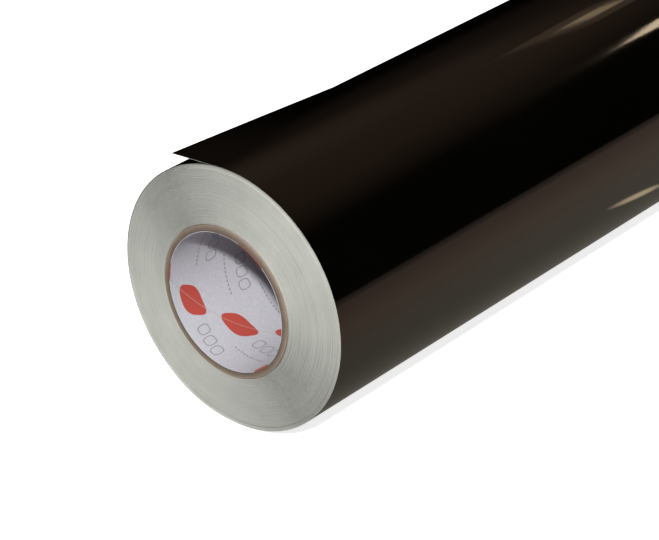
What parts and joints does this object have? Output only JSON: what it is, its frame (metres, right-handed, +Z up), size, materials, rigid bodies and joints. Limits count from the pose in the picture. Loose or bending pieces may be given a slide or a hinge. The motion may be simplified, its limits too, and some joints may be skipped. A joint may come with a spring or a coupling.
{
  "type": "roll of sign vinyl",
  "caption": "Roll of glossy black self-adhesive film on a pale release liner, wound on a paper core, with its free end lifted at one corner.",
  "frame": {"origin": "on the roll's axis, at the middle of the core", "axes": "+X along the roll's axis, away from the end whose turns stand out and whose corner is lifted; +Z up as the roll lies; the web winds from -Y over the top to +Y"},
  "size_m": [1.0045, 0.1459, 0.146],
  "materials": {
    "core_lining": "satin",
    "core_board": "matte",
    "start_tape": "satin",
    "web_edges": "matte",
    "release_liner": "satin",
    "vinyl_film": "gloss"
  },
  "bodies": {
    "roll": {"core_lining": "core_lining", "core_ply_1": "core_board", "core_ply_2": "core_board", "core_ply_3": "core_board", "core_ply_4": "core_board", "core_ply_5": "core_board", "core_ply_6": "core_board", "core_outer_ply": "core_board", "start_tape": "start_tape", "liner_first_turn": "release_liner", "film_first_turn": "vinyl_film", "wound_turns": "web_edges", "liner_outer_turn": "release_liner", "film_outer_turn": "vinyl_film"},
    "web_strip_1": {"liner_strip_1": "release_liner", "film_strip_1": "vinyl_film"},
    "web_strip_2": {"liner_strip_2": "release_liner", "film_strip_2": "vinyl_film"},
    "web_strip_3": {"liner_strip_3": "release_liner", "film_strip_3": "vinyl_film"},
    "tail": {"liner_tail": "release_liner", "film_tail": "vinyl_film"},
    "film_flap": {"film_flap": "vinyl_film"}
  },
  "joints": [
    {"name": "unwind", "type": "hinge", "parent": "roll", "child": "web_strip_1", "pos_m": [0, -0.05429, 0.04888], "axis": [1, 0, 0], "range_deg": [0, 15]},
    {"name": "unwind_strip_2", "type": "hinge", "parent": "web_strip_1", "child": "web_strip_2", "pos_m": [0, -0.03979, 0.06128], "axis": [1, 0, 0], "range_deg": [0, 15]},
    {"name": "unwind_strip_3", "type": "hinge", "parent": "web_strip_2", "child": "web_strip_3", "pos_m": [0, -0.02258, 0.0695], "axis": [1, 0, 0], "range_deg": [0, 15]},
    {"name": "tail_lift", "type": "hinge", "parent": "web_strip_3", "child": "tail", "pos_m": [0, -0.00382, 0.07298], "axis": [1, 0, 0], "range_deg": [0, 30]},
    {"name": "film_peel", "type": "hinge", "parent": "tail", "child": "film_flap", "pos_m": [0, 0.00383, 0.073], "axis": [1, 0, 0], "range_deg": [0, 150]}
  ],
  "couplings": [
    {"joint": "unwind_strip_2", "follows": "unwind", "ratio": 1},
    {"joint": "unwind_strip_3", "follows": "unwind", "ratio": 1},
    {"joint": "tail_lift", "follows": "unwind", "ratio": 2}
  ]
}
